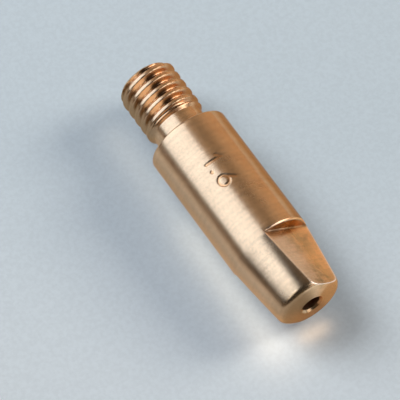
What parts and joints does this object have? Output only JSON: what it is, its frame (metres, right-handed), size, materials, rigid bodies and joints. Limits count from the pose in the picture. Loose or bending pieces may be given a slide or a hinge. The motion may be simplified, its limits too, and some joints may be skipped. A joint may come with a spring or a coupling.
{
  "type": "welding contact tip",
  "caption": "Turned copper contact tip with a threaded shank, a shouldered body, a tapered nose with wrench flats and an axial bore that guides the welding wire.",
  "frame": {"origin": "centre of the thread end's face, on the axis, where the tip stands", "axes": "+Z along the wire bore, from the thread end to the nose; the wrench flats face -Y and +Y"},
  "size_m": [0.008, 0.008, 0.028],
  "materials": {
    "copper": "bare turned copper, satin, with fine turning marks"
  },
  "bodies": {
    "root": {"contact_tip": "copper"}
  },
  "joints": []
}
